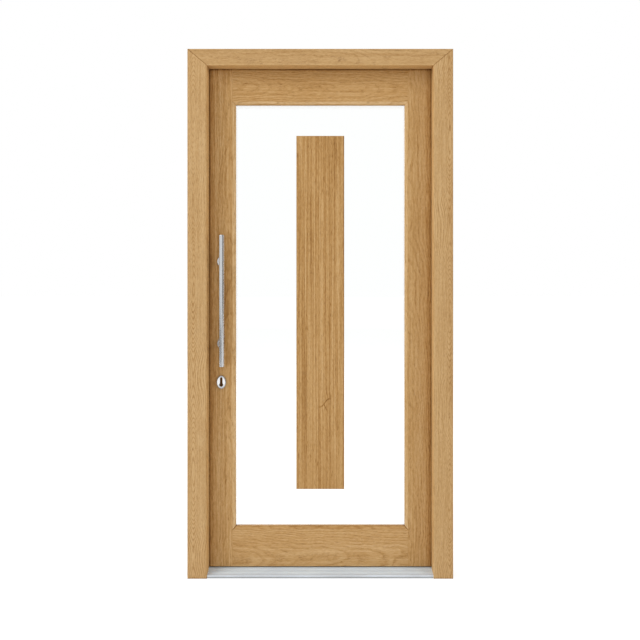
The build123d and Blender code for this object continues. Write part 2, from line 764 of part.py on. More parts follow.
def upright_bead():
    """The right-hand bead, mitred at both ends and chamfered along the glass."""
    edge = LIGHT_X + BEAD_BACK
    face = outline(
        (COVER_X, COVER_BOTTOM),
        (COVER_X, COVER_TOP),
        (edge, LIGHT_TOP + BEAD_BACK),
        (edge, LIGHT_BOTTOM - BEAD_BACK),
    )
    chamfer = outline(
        (edge + BEAD_CHAMFER, INNER_Y),
        (edge, INNER_Y - BEAD_CHAMFER_DEPTH),
        (edge - OVERRUN, INNER_Y + OVERRUN),
    )
    return run("y", face, BEAD_Y, INNER_Y) - run("z", chamfer, COVER_BOTTOM, COVER_TOP)


def lying_bead(light_edge, cover_edge):
    """The top or bottom bead."""
    away = (cover_edge - light_edge) / GLASS_COVER
    edge = light_edge + away * BEAD_BACK
    half = LIGHT_X + BEAD_BACK
    face = outline((-COVER_X, cover_edge), (COVER_X, cover_edge), (half, edge), (-half, edge))
    chamfer = outline(
        (INNER_Y, edge + away * BEAD_CHAMFER),
        (INNER_Y - BEAD_CHAMFER_DEPTH, edge),
        (INNER_Y + OVERRUN, edge - away * OVERRUN),
    )
    return run("y", face, BEAD_Y, INNER_Y) - run("x", chamfer, -COVER_X, COVER_X)


# Upright oak boards bonded to both faces of the glass


def board(near, far, shown):
    """A board between two depths, eased round the face that shows: first or last along Y."""
    half = BOARD_WIDTH / 2
    plank = block((-half, near, BOARD_BOTTOM), (half, far, BOARD_TOP))
    return rounded(plank.faces().sort_by(Axis.Y)[shown], BOARD_ARRIS)


def outer_board():
    back = OUTER_PANE_Y - TAPE_THICKNESS
    return board(back - OUTER_BOARD_THICKNESS, back, 0)


def inner_board():
    front = INNER_SEAL_Y + TAPE_THICKNESS
    return board(front, front + INNER_BOARD_THICKNESS, -1)


def board_tapes():
    outside = BOARD_WIDTH / 2 - TAPE_EDGE
    tapes = []
    for near in (OUTER_PANE_Y - TAPE_THICKNESS, INNER_SEAL_Y):
        tape = block(
            (outside - TAPE_WIDTH, near, BOARD_BOTTOM + TAPE_EDGE),
            (outside, near + TAPE_THICKNESS, BOARD_TOP - TAPE_EDGE),
        )
        tapes += [tape, mirrored(tape)]
    return tapes


# Pull bar on two leaning posts, bolted through the stile from inside


def pull_rod():
    half = PULL_LENGTH / 2
    return rod("z", (PULL_X, PULL_Y), PULL_HEIGHT - half, PULL_HEIGHT + half, PULL_RADIUS)


def pull_bar():
    return fillet(pull_rod().edges().filter_by(GeomType.CIRCLE), PULL_END_ARRIS)


def pull_post(height):
    foot_centre = Vector(PULL_FOOT_X, LEAF_Y, height)
    lean = Vector(PULL_X, PULL_Y, height) - foot_centre
    buried = lean.normalized() * POST_RADIUS
    across = Plane(origin=foot_centre - buried, z_dir=lean)
    post = extrude(across * Circle(POST_RADIUS), amount=lean.length + POST_RADIUS)
    inside_leaf = block(
        (-LEAF_X, LEAF_Y, height - FOOT_LENGTH), (0, INNER_Y, height + FOOT_LENGTH)
    )
    oval = Pos(PULL_FOOT_X, height) * Ellipse(FOOT_WIDTH / 2, FOOT_LENGTH / 2)
    foot = run("y", oval, LEAF_Y - FOOT_HEIGHT, LEAF_Y)
    foot = rounded(foot.faces().sort_by(Axis.Y)[0], FOOT_ARRIS)
    bolt_end = LEAF_Y - PULL_BOLT_REACH - FIT
    bolt = rod("y", (PULL_FOOT_X, height), bolt_end, LEAF_Y + OVERRUN, PULL_BOLT_RADIUS + FIT)
    return without(post + foot, [inside_leaf, pull_rod(), bolt])


def pull_bolts():
    bolts = []
    for height in PULL_FOOT_HEIGHTS:
        place = (PULL_FOOT_X, height)
        head_top = INNER_Y + PULL_BOLT_HEAD_HEIGHT
        head = rod("y", place, INNER_Y, head_top, PULL_BOLT_HEAD_RADIUS)
        head = rounded(head.faces().sort_by(Axis.Y)[-1], PULL_BOLT_ARRIS)
        bolts.append(head + rod("y", place, LEAF_Y - PULL_BOLT_REACH, INNER_Y, PULL_BOLT_RADIUS))
    return bolts


# Three-point lock: faceplate, cases and the bolts that slide in them


def faceplate_blank(past=0):
    half = FACEPLATE_WIDTH / 2
    return block(
        (-LEAF_X - past, LOCK_Y - half, FACEPLATE_BOTTOM), (CASE_FRONT, LOCK_Y + half, FACEPLATE_TOP)
    )


def faceplate_screws(room=0):
    past_case = 2 * PLATE_SCREW_END
    past_small_case = SMALL_CASE_HEIGHT / 2 + PLATE_SCREW_END
    heights = (
        FACEPLATE_BOTTOM + PLATE_SCREW_END,
        LOWER_AXIS + past_small_case,
        CASE_BOTTOM - past_case,
        CASE_TOP + past_case,
        UPPER_AXIS - past_small_case,
        FACEPLATE_TOP - PLATE_SCREW_END,
    )
    return plate_screws(-LEAF_X, heights, INTO_STILE, room)


def lock_faceplate():
    half = BOLT_THICKNESS / 2 + SLIDE_FIT
    openings = [
        block(
            (-LEAF_X - OVERRUN, LOCK_Y - half, span[0] - SLIDE_FIT),
            (CASE_FRONT + OVERRUN, LOCK_Y + half, span[1] + SLIDE_FIT),
        )
        for span in (LATCH_SPAN, DEAD_SPAN, UPPER_SPAN, LOWER_SPAN)
    ]
    return without(faceplate_blank(), openings + faceplate_screws(FIT))


def case_blank(back, bottom, top, room=0):
    half = CASE_THICKNESS / 2 + room
    return block(
        (CASE_FRONT, LOCK_Y - half, bottom - room), (back + room, LOCK_Y + half, top + room)
    )


def small_case_blank(axis, room=0):
    half = SMALL_CASE_HEIGHT / 2
    return case_blank(CASE_FRONT + SMALL_CASE_DEPTH, axis - half, axis + half, room)


def hollowed(case):
    """Leaves a sheet-metal wall round a case that stays open behind the faceplate."""
    corners = case.bounding_box()
    low = corners.min + Vector(-OVERRUN, CASE_WALL, CASE_WALL)
    high = corners.max - Vector(CASE_WALL, CASE_WALL, CASE_WALL)
    return case - block(tuple(low), tuple(high))


def main_lock_case():
    near = LOCK_Y - CASE_THICKNESS
    far = LOCK_Y + CASE_THICKNESS
    hub_hole = rod("y", (LOCK_X, FOLLOWER_HEIGHT), near, far, HUB_RADIUS + RUNNING_FIT)
    cylinder_hole = run("y", cylinder_profile(PROFILE_ROOM), near, far)
    return without(hollowed(case_blank(CASE_BACK, CASE_BOTTOM, CASE_TOP)), [hub_hole, cylinder_hole])


def bolt_thick(face):
    return run("y", face, LOCK_Y - BOLT_THICKNESS / 2, LOCK_Y + BOLT_THICKNESS / 2)


def latch_bolt():
    """A sprung latch with a slanted nose, and a hooked tail that the follower's arm pulls back."""
    tip = -LEAF_X - LATCH_THROW
    body_end = -LEAF_X + LATCH_BODY
    tail_top = LATCH_AXIS + LATCH_TAIL_HEIGHT / 2
    tail_bottom = tail_top - LATCH_TAIL_HEIGHT
    hook_near = LOCK_X + HUB_ARM_WIDTH / 2 + LATCH_HOOK_ROOM
    hook_far = hook_near + LATCH_HOOK_WIDTH
    hook_bottom = tail_bottom - LATCH_HOOK_DROP
    face = outline(
        (tip, LATCH_SPAN[0]),
        (tip, LATCH_SPAN[1]),
        (body_end, LATCH_SPAN[1]),
        (body_end, tail_top),
        (hook_far, tail_top),
        (hook_far, hook_bottom),
        (hook_near, hook_bottom),
        (hook_near, tail_bottom),
        (body_end, tail_bottom),
        (body_end, LATCH_SPAN[0]),
    )
    near = LOCK_Y - BOLT_THICKNESS / 2
    far = LOCK_Y + BOLT_THICKNESS / 2
    slant = outline((-LEAF_X, near), (tip, far - LATCH_FLAT), (tip - OVERRUN, near - OVERRUN))
    return bolt_thick(face) - run("z", slant, *LATCH_SPAN)


def dead_bolt():
    """A square bolt with a tail that the cylinder's cam drives."""
    body_end = -LEAF_X + DEAD_BODY
    tail_end = body_end + DEAD_TAIL_LENGTH
    tail_top = DEAD_SPAN[0] + DEAD_TAIL_HEIGHT
    face = outline(
        (-LEAF_X, DEAD_SPAN[0]),
        (tail_end, DEAD_SPAN[0]),
        (tail_end, tail_top),
        (body_end, tail_top),
        (body_end, DEAD_SPAN[1]),
        (-LEAF_X, DEAD_SPAN[1]),
    )
    return bolt_thick(face)


def small_bolt(span):
    end = -LEAF_X + SMALL_BOLT_BODY
    face = outline((-LEAF_X, span[0]), (end, span[0]), (end, span[1]), (-LEAF_X, span[1]))
    return bolt_thick(face)


# Oval knob inside, its rose and the follower that it turns


def spindle(room, near, far):
    half = SPINDLE_WIDTH / 2 + room
    return block(
        (LOCK_X - half, near, FOLLOWER_HEIGHT - half), (LOCK_X + half, far, FOLLOWER_HEIGHT + half)
    )


def latch_follower():
    near = LOCK_Y - CASE_THICKNESS / 2
    far = LOCK_Y + CASE_THICKNESS / 2
    hub = rod("y", (LOCK_X, FOLLOWER_HEIGHT), near, far, HUB_RADIUS)
    arm = block(
        (LOCK_X - HUB_ARM_WIDTH / 2, LOCK_Y - HUB_ARM_THICKNESS / 2, FOLLOWER_HEIGHT),
        (LOCK_X + HUB_ARM_WIDTH / 2, LOCK_Y + HUB_ARM_THICKNESS / 2, FOLLOWER_HEIGHT + HUB_ARM_REACH),
    )
    return hub + arm - spindle(FIT, near - OVERRUN, far + OVERRUN)


def oval_knob():
    """A turned oval knob on a round neck, with the square spindle fixed in it."""
    far = INNER_Y + KNOB_REACH
    oval = Pos(LOCK_X, FOLLOWER_HEIGHT) * Ellipse(KNOB_WIDTH / 2, KNOB_HEIGHT / 2)
    grip = run("y", oval, far - KNOB_THICKNESS, far)
    grip = fillet(grip.edges().group_by(Axis.Y)[0] + grip.edges().group_by(Axis.Y)[-1], KNOB_ARRIS)
    neck = rod("y", (LOCK_X, FOLLOWER_HEIGHT), INNER_Y, far - KNOB_THICKNESS / 2, NECK_RADIUS)
    return grip + neck + spindle(0, LOCK_Y - CASE_THICKNESS / 2, INNER_Y + NECK_RADIUS)


def knob_rose():
    place = (LOCK_X, FOLLOWER_HEIGHT)
    rose = rod("y", place, INNER_Y, INNER_Y + ROSE_HEIGHT, ROSE_RADIUS)
    rose = rounded(rose.faces().sort_by(Axis.Y)[-1], ROSE_ARRIS)
    top = INNER_Y + ROSE_HEIGHT + OVERRUN
    return rose - rod("y", place, INNER_Y - OVERRUN, top, NECK_RADIUS + RUNNING_FIT)


# Profile cylinder with its round part at the bottom, and an oval escutcheon on each face


def cylinder_profile(room):
    stem_end = PROFILE_TOP - STEM_WIDTH / 2
    stem_length = stem_end - PLUG_HEIGHT
    bulb = Pos(LOCK_X, PLUG_HEIGHT) * Circle(BULB_RADIUS + room)
    stem_middle = Pos(LOCK_X, PLUG_HEIGHT + stem_length / 2)
    stem = stem_middle * Rectangle(STEM_WIDTH + 2 * room, stem_length)
    tip = Pos(LOCK_X, stem_end) * Circle(STEM_WIDTH / 2 + room)
    return bulb + stem + tip


def plug_rod(near, far, radius):
    return rod("y", (LOCK_X, PLUG_HEIGHT), near, far, radius)


def cylinder_body():
    body = run("y", cylinder_profile(0), CYLINDER_OUTER_Y, CYLINDER_INNER_Y)
    bore = plug_rod(
        CYLINDER_OUTER_Y - OVERRUN, CYLINDER_INNER_Y + OVERRUN, PLUG_RADIUS + RUNNING_FIT
    )
    half = CAM_SLOT / 2
    slot = plug_rod(LOCK_Y - half, LOCK_Y + half, CAM_RADIUS + CAM_ROOM)
    return without(body, [bore, slot])


def key_plug():
    """The part that the key turns, with a keyway at each end and the cam in the middle."""
    plug = plug_rod(CYLINDER_OUTER_Y, CYLINDER_INNER_Y, PLUG_RADIUS)
    near = LOCK_Y - CAM_THICKNESS / 2
    far = LOCK_Y + CAM_THICKNESS / 2
    lobe = block(
        (LOCK_X - CAM_WIDTH / 2, near, PLUG_HEIGHT - CAM_RADIUS),
        (LOCK_X + CAM_WIDTH / 2, far, PLUG_HEIGHT),
    )
    plug += lobe & plug_rod(near, far, CAM_RADIUS)
    spans = (
        (CYLINDER_OUTER_Y - OVERRUN, CYLINDER_OUTER_Y + KEYWAY_DEPTH),
        (CYLINDER_INNER_Y - KEYWAY_DEPTH, CYLINDER_INNER_Y + OVERRUN),
    )
    half = KEYWAY_WIDTH / 2
    bottom = PLUG_HEIGHT - KEYWAY_HEIGHT / 2
    top = PLUG_HEIGHT + KEYWAY_HEIGHT / 2
    keyways = [block((LOCK_X - half, low, bottom), (LOCK_X + half, high, top)) for low, high in spans]
    return without(plug, keyways)


def outer_escutcheon():
    middle = (PROFILE_BOTTOM + PROFILE_TOP) / 2 - ESCUTCHEON_DROP
    oval = Pos(LOCK_X, middle) * Ellipse(ESCUTCHEON_WIDTH / 2, ESCUTCHEON_LENGTH / 2)
    front = LEAF_Y - ESCUTCHEON_HEIGHT
    cap = run("y", oval, front, LEAF_Y)
    cap = rounded(cap.faces().sort_by(Axis.Y)[0], ESCUTCHEON_ARRIS)
    cap -= run("y", cylinder_profile(PROFILE_ROOM), front - OVERRUN, LEAF_Y + OVERRUN)
    rim = cap.faces().sort_by(Axis.Y)[0].inner_wires()[0]
    return chamfer(rim.edges(), ESCUTCHEON_RIM)


def inner_escutcheon():
    return mirror(outer_escutcheon(), about=Plane.XZ.offset(-LOCK_Y))


# Three barrel hinges inside, each with two wings and a pin


def wing_edges(side):
    """Where a hinge wing starts beside the barrel and where it ends, along X."""
    towards = 1 if side == "frame" else -1
    near = HINGE_X + towards * (BARREL_RADIUS + BARREL_ROOM)
    return near, near + towards * WING_WIDTH


def hinge_wing(side, height):
    near, far = wing_edges(side)
    bottom = height - WING_HEIGHT / 2
    top = height + WING_HEIGHT / 2
    half = KNUCKLE_LENGTH / 2
    back = INNER_Y + WING_THICKNESS
    knuckles = [(height - half + KNUCKLE_GAP, height + half - KNUCKLE_GAP)]
    bore_bottom = bottom - OVERRUN
    if side == "frame":
        knuckles = [(bottom, height - half), (height + half, top)]
        bore_bottom = bottom + KNUCKLE_FLOOR
    wing = block((min(near, far), INNER_Y, bottom), (max(near, far), back, top))
    for low, high in knuckles:
        wing += rod("z", (HINGE_X, HINGE_Y), low, high, BARREL_RADIUS)
        wing += block((min(near, HINGE_X), INNER_Y, low), (max(near, HINGE_X), back, high))
    bore_radius = HINGE_PIN_RADIUS + RUNNING_FIT
    bore = rod("z", (HINGE_X, HINGE_Y), bore_bottom, top + OVERRUN, bore_radius)
    return without(wing, [bore] + hinge_screws(side, height, FIT))


def hinge_pin(height):
    bottom = height - WING_HEIGHT / 2 + KNUCKLE_FLOOR
    top = height + WING_HEIGHT / 2
    head = rod("z", (HINGE_X, HINGE_Y), top, top + PIN_HEAD_HEIGHT, BARREL_RADIUS)
    head = rounded(head.faces().sort_by(Axis.Z)[-1], PIN_ARRIS)
    return head + rod("z", (HINGE_X, HINGE_Y), bottom, top, HINGE_PIN_RADIUS)


parts = {
    "lock_jamb": lock_jamb(),
    "hinge_jamb": hinge_jamb(),
    "frame_head": frame_head(),
    "frame_dowels": group(frame_dowels()),
    "threshold_outer": threshold_outer(),
    "threshold_core": threshold_core(),
    "threshold_inner": threshold_inner(),
    "frame_seal": frame_seal(),
    "strike_screws": group(strike_screws()),
    "lock_stile": lock_stile(),
    "hinge_stile": hinge_stile(),
    "top_rail": rail(LIGHT_TOP, SHOULDER_TOP, LEAF_TOP),
    "bottom_rail": rail(LIGHT_BOTTOM, SHOULDER_BOTTOM, LEAF_BOTTOM),
    "leaf_dowels": group(leaf_dowels()),
    "bottom_seal": bottom_seal(),
    "outer_pane": pane(OUTER_PANE_Y),
    "inner_pane": pane(INNER_PANE_Y),
    "pane_spacer": ring(SPACER_INSET, SPACER_WIDTH, SPACE_Y, INNER_PANE_Y),
    "edge_sealant": ring(0, SPACER_INSET, SPACE_Y, INNER_PANE_Y),
    "glazing_seals": group(glazing_seals()),
    "setting_blocks": group(setting_blocks()),
    "bead_right": upright_bead(),
    "bead_left": mirrored(upright_bead()),
    "bead_top": lying_bead(LIGHT_TOP, COVER_TOP),
    "bead_bottom": lying_bead(LIGHT_BOTTOM, COVER_BOTTOM),
    "outer_board": outer_board(),
    "inner_board": inner_board(),
    "board_tapes": group(board_tapes()),
    "pull_bar": pull_bar(),
    "lower_pull_post": pull_post(PULL_FOOT_HEIGHTS[0]),
    "upper_pull_post": pull_post(PULL_FOOT_HEIGHTS[1]),
    "pull_bolts": group(pull_bolts()),
    "lock_faceplate": lock_faceplate(),
    "faceplate_screws": group(faceplate_screws()),
    "main_lock_case": main_lock_case(),
    "upper_bolt_case": hollowed(small_case_blank(UPPER_AXIS)),
    "lower_bolt_case": hollowed(small_case_blank(LOWER_AXIS)),
    "latch_bolt": latch_bolt(),
    "dead_bolt": dead_bolt(),
    "upper_bolt": small_bolt(UPPER_SPAN),
    "lower_bolt": small_bolt(LOWER_SPAN),
    "latch_follower": latch_follower(),
    "oval_knob": oval_knob(),
    "knob_rose": knob_rose(),
    "cylinder_body": cylinder_body(),
    "key_plug": key_plug(),
    "outer_escutcheon": outer_escutcheon(),
    "inner_escutcheon": inner_escutcheon(),
    "hinge_frame_screws": group(all_hinge_screws("frame")),
    "hinge_leaf_screws": group(all_hinge_screws("leaf")),
    "hinge_pins": group([hinge_pin(height) for height in HINGE_HEIGHTS.values()]),
}
for strike_name in STRIKE_SPANS:
    parts[f"{strike_name}_strike"] = strike(strike_name)
for hinge_name, hinge_height in HINGE_HEIGHTS.items():
    parts[f"{hinge_name}_hinge_frame_wing"] = hinge_wing("frame", hinge_height)
    parts[f"{hinge_name}_hinge_leaf_wing"] = hinge_wing("leaf", hinge_height)

os.makedirs("parts", exist_ok=True)
for node, shape in parts.items():
    export_step(shape, f"parts/{node}.step")
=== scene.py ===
import math

import bpy
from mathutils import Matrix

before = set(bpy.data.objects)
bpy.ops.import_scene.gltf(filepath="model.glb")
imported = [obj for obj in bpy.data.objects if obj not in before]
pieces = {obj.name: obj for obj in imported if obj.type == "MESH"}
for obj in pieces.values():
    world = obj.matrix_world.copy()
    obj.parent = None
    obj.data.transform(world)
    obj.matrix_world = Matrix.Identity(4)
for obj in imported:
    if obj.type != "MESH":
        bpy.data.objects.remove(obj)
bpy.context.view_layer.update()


# Frame: two rebated oak jambs and a head, sawn from solid planks, mitred at the top corners and oiled.
# The grain of a plank comes from growth rings round a heart that leans away from it, with open pores
# in the spring wood, so that faces, edges and end grain all belong to the same piece of wood.
FRAME_OAK = ((0.200, 0.092, 0.024, 1), (0.396, 0.221, 0.078, 1), (0.524, 0.327, 0.142, 1),
             (0.609, 0.413, 0.208, 1), (0.72, 0.51, 0.29, 1))
TONE_STOPS = (0.03, 0.343, 0.583, 0.823, 1.0)
TONE_SPAN = 0.5714
TONE_START = 0.2857
PORE = (0.205, 0.090, 0.026, 1)
# Painted shade tint: the reveals' colour is multiplied by it, richer and warmer.
REVEAL_SHADE_TINT = (1.06, 0.98, 0.80, 1)
OAK_GLOSS = 0.2
OUTER_SIDE = (0.016, 0.008)


def add_node(finish, kind, sockets, **options):
    """Adds a shader node, sets its options, and sets or links its sockets."""
    node = finish.node_tree.nodes.new(kind)
    for option, value in options.items():
        setattr(node, option, value)
    for socket, value in sockets.items():
        if isinstance(value, bpy.types.NodeSocket):
            finish.node_tree.links.new(value, node.inputs[socket])
        else:
            node.inputs[socket].default_value = value
    return node


def maths(finish, operation, *values, clamp=False):
    sockets = dict(enumerate(values))
    return add_node(finish, "ShaderNodeMath", sockets, operation=operation, use_clamp=clamp).outputs[0]


def ramp(finish, factor, stops):
    """Colours by a factor, from (place, colour) stops."""
    node = add_node(finish, "ShaderNodeValToRGB", {0: factor})
    elements = node.color_ramp.elements
    while len(elements) < len(stops):
        elements.new(1.0)
    for element, (place, colour) in zip(elements, stops):
        element.position = place
        element.color = colour
    return node.outputs[0]


def fade(finish, value, low, high, start=0.0, end=1.0):
    """Maps a value from one range to another, smoothly and held at both ends."""
    sockets = {0: value, 1: low, 2: high, 3: start, 4: end}
    return add_node(finish, "ShaderNodeMapRange", sockets, interpolation_type="SMOOTHSTEP").outputs[0]


def grain_noise(finish, where, across, along, detail=3.0, rough=0.55, seed=0.0):
    """Noise that is fine across the grain and long along it, from 0 to 1."""
    stretched = add_node(finish, "ShaderNodeMapping",
                         {0: where, 1: (seed, seed, seed), 3: (across, across, along)})
    sockets = {"Vector": stretched.outputs[0], "Scale": 1.0, "Detail": detail, "Roughness": rough}
    return add_node(finish, "ShaderNodeTexNoise", sockets).outputs[0]


def new_finish(name):
    finish = bpy.data.materials.new(name)
    finish.use_nodes = True
    finish.node_tree.nodes.clear()
    return finish


def surface(finish, sockets):
    """The finish's surface shader, joined to its output."""
    shader = add_node(finish, "ShaderNodeBsdfPrincipled", sockets)
    add_node(finish, "ShaderNodeOutputMaterial", {0: shader.outputs[0]})


def mixed(finish, amount, first, second, blend="MIX"):
    """One colour mixed with another, or multiplied by it."""
    sockets = {0: amount, 6: first, 7: second}
    return add_node(finish, "ShaderNodeMix", sockets, data_type="RGBA", blend_type=blend).outputs[2]


def rises(finish, height, distance, strength):
    sockets = {"Height": height, "Distance": distance, "Strength": strength}
    return add_node(finish, "ShaderNodeBump", sockets).outputs[0]


def oak(name, tones, lying, cut, heart, lean, figure=0.45, streaks=0.60, flecks=0.85,
        ring_gap=0.0046, paleness=0.56, zones=(), knot=None, mitre=None, arches=0.0, behind=None,
        waver=0.009, shortness=3.2, dashes=0.20, reveal=None):
    """Oak that runs up the piece, or along it where it lies. The cut moves the plank about in its log.
    Zones are painted tone, paler or deeper across a distance on the outer side: (axis, start, end, how
    much). They are painted highlight and painted shade, standing in for lit edges and soft shadow that the
    lamps alone don't give, and so is the strip behind a bar, painted shade: (middle, half width, lower end,
    upper end, how much). Arches stand one above the other along the heart, where the rings taper. A mitre is
    a dark line: (slope, height at the middle, half width, how much). At a reveal the colour is painted richer, a
    painted shade tint: (axis, near, far)."""
    finish = new_finish(name)
    place = add_node(finish, "ShaderNodeTexCoord", {}).outputs["Object"]
    spot = add_node(finish, "ShaderNodeSeparateXYZ", {0: place})
    if knot:
        beside = maths(finish, "SUBTRACT", spot.outputs[0], knot[0])
        above = maths(finish, "SUBTRACT", spot.outputs[2], knot[1])
        squat = maths(finish, "MULTIPLY", above, 0.38)
        reach = maths(finish, "SQRT", maths(finish, "ADD", maths(finish, "POWER", beside, 2.0),
                                            maths(finish, "POWER", squat, 2.0)))
        pull = maths(finish, "MULTIPLY", maths(finish, "MULTIPLY", beside, -0.75),
                     fade(finish, reach, 0.026, 0.002))
        shove = add_node(finish, "ShaderNodeCombineXYZ", {0: pull}).outputs[0]
        place = add_node(finish, "ShaderNodeVectorMath", {0: place, 1: shove}, operation="ADD").outputs[0]
        aside = maths(finish, "ABSOLUTE", beside)
        bow = maths(finish, "MULTIPLY", beside, maths(finish, "MULTIPLY_ADD", aside, -36.0, 1.6))
        off_bow = maths(finish, "ABSOLUTE", maths(finish, "SUBTRACT", above, bow))
        over = maths(finish, "MULTIPLY", fade(finish, off_bow, 0.0055, 0.001), fade(finish, aside, 0.036, 0.006))
        slant = maths(finish, "ADD", maths(finish, "MULTIPLY_ADD", above, 0.45, 0.006), beside)
        below = maths(finish, "ABSOLUTE", maths(finish, "ADD", above, 0.015))
        under = maths(finish, "MULTIPLY", fade(finish, maths(finish, "ABSOLUTE", slant), 0.0034, 0.001),
                      fade(finish, below, 0.030, 0.004))
        cracks = maths(finish, "MAXIMUM", over, under)
    turn = (0, -math.pi / 2, 0) if lying else (0, 0, 0)
    plank = add_node(finish, "ShaderNodeMapping", {0: place, 1: cut, 2: turn}).outputs[0]
    drift = add_node(finish, "ShaderNodeTexNoise", {"Vector": plank, "Scale": 11.0, "Detail": 2.0}).outputs[1]
    plank = add_node(finish, "ShaderNodeVectorMath", {0: drift, 1: (waver, waver, 0.0), 2: plank},
                     operation="MULTIPLY_ADD").outputs[0]

    sweep = grain_noise(finish, plank, 5.0, 2.4, 2.0, 0.5, 3.1)
    ripple = grain_noise(finish, plank, 28.0, 6.5, 2.0, 0.5, 7.7)
    parts = add_node(finish, "ShaderNodeSeparateXYZ", {0: plank})
    wide = maths(finish, "SUBTRACT", maths(finish, "SUBTRACT", parts.outputs[0], heart[0]),
                 maths(finish, "MULTIPLY", parts.outputs[2], lean[0]))
    deep = maths(finish, "SUBTRACT", maths(finish, "SUBTRACT", parts.outputs[1], heart[1]),
                 maths(finish, "MULTIPLY", parts.outputs[2], lean[1]))
    radius = maths(finish, "SQRT", maths(finish, "ADD", maths(finish, "MULTIPLY", wide, wide),
                                         maths(finish, "MULTIPLY", deep, deep)))
    radius = maths(finish, "MULTIPLY_ADD", sweep, 0.018 if arches else 0.034, radius)
    if arches:
        rise = maths(finish, "SUBTRACT", parts.outputs[2], 0.26)
        taper = maths(finish, "SINE", maths(finish, "MULTIPLY", rise, 8.4))
        middle = fade(finish, maths(finish, "ABSOLUTE", wide), 0.075, 0.006, 0.0, arches)
        radius = maths(finish, "MULTIPLY_ADD", taper, middle, radius)
    radius = maths(finish, "MULTIPLY_ADD", ripple, 0.0035, radius)
    year = maths(finish, "FRACT", maths(finish, "DIVIDE", radius, ring_gap))
    ring = ramp(finish, year, [(0.0, (0.10, 0.10, 0.10, 1)), (0.22, (0.42, 0.42, 0.42, 1)),
                               (0.55, (0.78, 0.78, 0.78, 1)), (0.90, (0.62, 0.62, 0.62, 1)),
                               (1.0, (0.10, 0.10, 0.10, 1))])

    patches = grain_noise(finish, plank, 7.0, 2.2, 1.0, 0.4, 21.0)
    clearness = fade(finish, patches, 0.36, 0.64, figure * 0.4, figure)
    layers = [(ring, clearness),
              (grain_noise(finish, plank, 24.0, 0.7, 3.0, 0.6, 11.3), streaks * 0.8),
              (grain_noise(finish, plank, 150.0, shortness, 3.0, 0.65, 5.9), streaks * 2.0),
              (grain_noise(finish, plank, 240.0, 62.0, 2.0, 0.6, 8.3), flecks),
              (grain_noise(finish, plank, 9.0, 4.0, 2.0, 0.5, 17.0), 0.22)]
    fibre = grain_noise(finish, plank, 800.0, 14.0, 3.0, 0.6, 2.3)
    tone = maths(finish, "MULTIPLY_ADD", maths(finish, "SUBTRACT", fibre, 0.5), 0.50, paleness)
    for layer, weight in layers:
        tone = maths(finish, "MULTIPLY_ADD", maths(finish, "SUBTRACT", layer, 0.5), weight, tone)
    marks = grain_noise(finish, plank, 320.0, 34.0, 1.0, 0.4, 13.7)
    tone = maths(finish, "SUBTRACT", tone, fade(finish, marks, 0.63, 0.76, 0.0, dashes))
    outside = fade(finish, spot.outputs[1], *OUTER_SIDE)
    for axis, near, far, amount in zones:
        change = fade(finish, spot.outputs["XYZ".index(axis)], near, far, 0.0, amount)
        tone = maths(finish, "ADD", maths(finish, "MULTIPLY", change, outside), tone)
    if behind:
        middle, half, lower, upper, amount = behind
        beside = maths(finish, "ABSOLUTE", maths(finish, "SUBTRACT", spot.outputs[0], middle))
        level = maths(finish, "MULTIPLY", fade(finish, spot.outputs[2], lower - 0.03, lower + 0.02),
                      fade(finish, spot.outputs[2], upper + 0.03, upper - 0.02))
        level = maths(finish, "MULTIPLY", level, outside)
        tone = maths(finish, "MULTIPLY_ADD", fade(finish, beside, half, half * 0.3, 0.0, amount), level, tone)
    if knot:
        tone = maths(finish, "MULTIPLY_ADD", cracks, -0.62, tone)
    if mitre:
        slope, middle, half, amount = mitre
        from_middle = maths(finish, "ABSOLUTE", spot.outputs[0])
        aslant = maths(finish, "MULTIPLY_ADD", from_middle, -slope, spot.outputs[2])
        off = maths(finish, "ABSOLUTE", maths(finish, "SUBTRACT", aslant, middle))
        tone = maths(finish, "MULTIPLY_ADD", fade(finish, off, half, half * 0.2), amount, tone)
    wood = ramp(finish, maths(finish, "MULTIPLY_ADD", tone, TONE_SPAN, TONE_START), list(zip(TONE_STOPS, tones)))

    slits = grain_noise(finish, plank, 1500.0, 55.0, 1.0, 0.4, 9.1)
    spring = fade(finish, year, 0.45, 0.05)
    pore = maths(finish, "MULTIPLY", fade(finish, slits, 0.58, 0.66),
                 maths(finish, "MULTIPLY_ADD", spring, 0.62, 0.22))
    colour = mixed(finish, pore, wood, PORE)
    height = maths(finish, "SUBTRACT", maths(finish, "MULTIPLY", fibre, 0.35), pore)
    shine = maths(finish, "MULTIPLY_ADD", fibre, 0.16, maths(finish, "MULTIPLY_ADD", pore, 0.15, 0.46))
    # Painted shade: the reveal's colour is made richer and warmer.
    if reveal:
        axis, near, far = reveal
        at_edge = fade(finish, spot.outputs["XYZ".index(axis)], near, far)
        colour = mixed(finish, at_edge, colour, REVEAL_SHADE_TINT, "MULTIPLY")
    surface(finish, {"Base Color": colour, "Roughness": shine, "Specular IOR Level": OAK_GLOSS,
                     "Normal": rises(finish, height, 0.0004, 0.6)})
    return finish


def wear(finish, *names):
    """Gives pieces a finish."""
    for name in names:
        pieces[name].data.materials.clear()
        pieces[name].data.materials.append(finish)


MITRE_SLOPE = 68 / 81
MITRE = (MITRE_SLOPE, 2.124 - 0.469 * MITRE_SLOPE, 0.0030, -0.60)
# Painted shade: the jambs are painted deeper at their foot, where a contact shadow falls.
FOOT_SHADE = ("Z", 0.006, 0.001, -0.45)
LEFT_REVEAL = ("X", -0.4708, -0.4692)
RIGHT_REVEAL = ("X", 0.4712, 0.4695)
UPPER_REVEAL = ("Z", 2.1262, 2.1245)
JAMB = {"figure": 0.80, "streaks": 0.50, "flecks": 0.75, "mitre": MITRE, "arches": -0.028, "dashes": 0.08}
